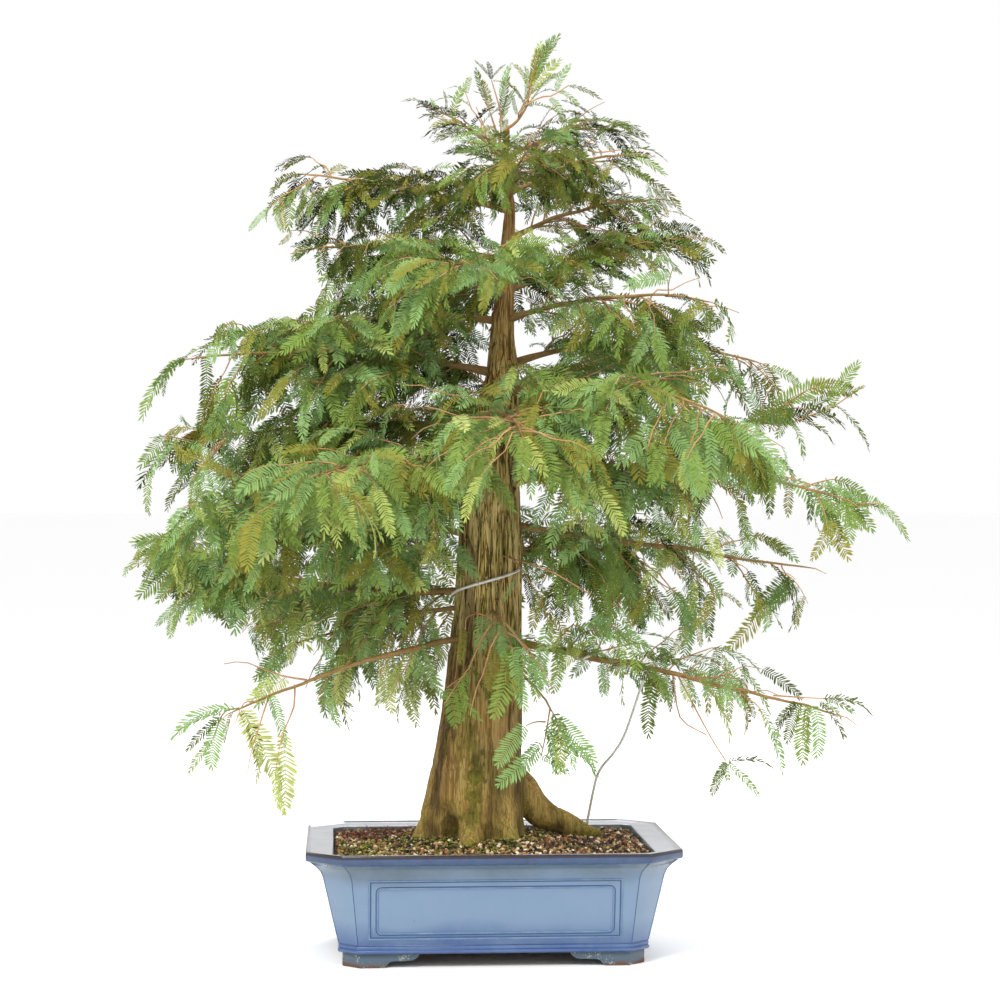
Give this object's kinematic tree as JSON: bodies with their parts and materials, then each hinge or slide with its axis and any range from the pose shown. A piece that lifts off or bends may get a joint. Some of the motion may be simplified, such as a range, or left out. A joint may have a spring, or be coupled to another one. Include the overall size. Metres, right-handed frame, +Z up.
{
  "type": "bald cypress bonsai tree",
  "caption": "A bald cypress bonsai: a straight tapering trunk with root flare, layered boughs of feathery drooping sprays, in a blue glazed rectangular pot on cloud feet",
  "frame": {"origin": "on the surface that the pot stands on, under the middle of the pot", "axes": "+Z up the trunk, +X to the plant's right as seen from its front, -Y towards the front"},
  "size_m": [0.8419, 0.6739, 0.9986],
  "materials": {
    "glaze": "glossy mottled blue glaze",
    "clay": "dark glaze thinning to bare brown clay",
    "soil": "coarse mixed grit",
    "bark": "fibrous furrowed bark",
    "shoot_bark": "young reddish bark",
    "wire": "dull bare wire",
    "leaf_deep": "matt deep green needles",
    "leaf_mid": "matt green needles",
    "leaf_fresh": "matt fresh green needles"
  },
  "bodies": {
    "root": {"pot_body": "glaze", "foot_front_left": "clay", "foot_front_right": "clay", "foot_back_left": "clay", "foot_back_right": "clay", "soil": "soil", "trunk": "bark", "guy_wire": "wire", "trunk_wire": "wire", "bough_back_left": "shoot_bark", "bough_back_middle": "shoot_bark", "bough_back_right": "shoot_bark", "bough_front_left": "shoot_bark", "bough_front_right": "shoot_bark", "bough_left_arched": "shoot_bark", "bough_left_long": "shoot_bark", "bough_left_low": "shoot_bark", "bough_left_middle": "shoot_bark", "bough_left_pendant": "shoot_bark", "bough_left_second": "shoot_bark", "bough_right_fore": "shoot_bark", "bough_right_lifted": "shoot_bark", "bough_right_long": "shoot_bark", "bough_right_low": "shoot_bark", "bough_right_middle": "shoot_bark", "bough_right_second": "shoot_bark", "mass_back_high": "leaf_deep", "mass_back_left": "leaf_mid", "mass_back_middle": "leaf_mid", "mass_back_right": "leaf_mid", "mass_back_top": "leaf_deep", "mass_front_high": "leaf_deep", "mass_front_left": "leaf_fresh", "mass_front_low": "leaf_fresh", "mass_front_right": "leaf_fresh", "mass_front_shoot": "leaf_fresh", "mass_front_top": "leaf_deep", "mass_left_arched": "leaf_fresh", "mass_left_high": "leaf_deep", "mass_left_inner": "leaf_mid", "mass_left_long": "leaf_mid", "mass_left_low": "leaf_fresh", "mass_left_middle": "leaf_mid", "mass_left_pendant": "leaf_fresh", "mass_left_second": "leaf_fresh", "mass_left_top": "leaf_deep", "mass_left_upper": "leaf_deep", "mass_right_crown": "leaf_deep", "mass_right_fore": "leaf_fresh", "mass_right_high": "leaf_deep", "mass_right_inner": "leaf_fresh", "mass_right_lifted": "leaf_fresh", "mass_right_long": "leaf_fresh", "mass_right_low": "leaf_fresh", "mass_right_middle": "leaf_mid", "mass_right_second": "leaf_fresh", "mass_right_top": "leaf_deep", "mass_right_upper": "leaf_deep", "mass_tip_left": "leaf_deep", "mass_tip_right": "leaf_deep"}
  },
  "joints": []
}
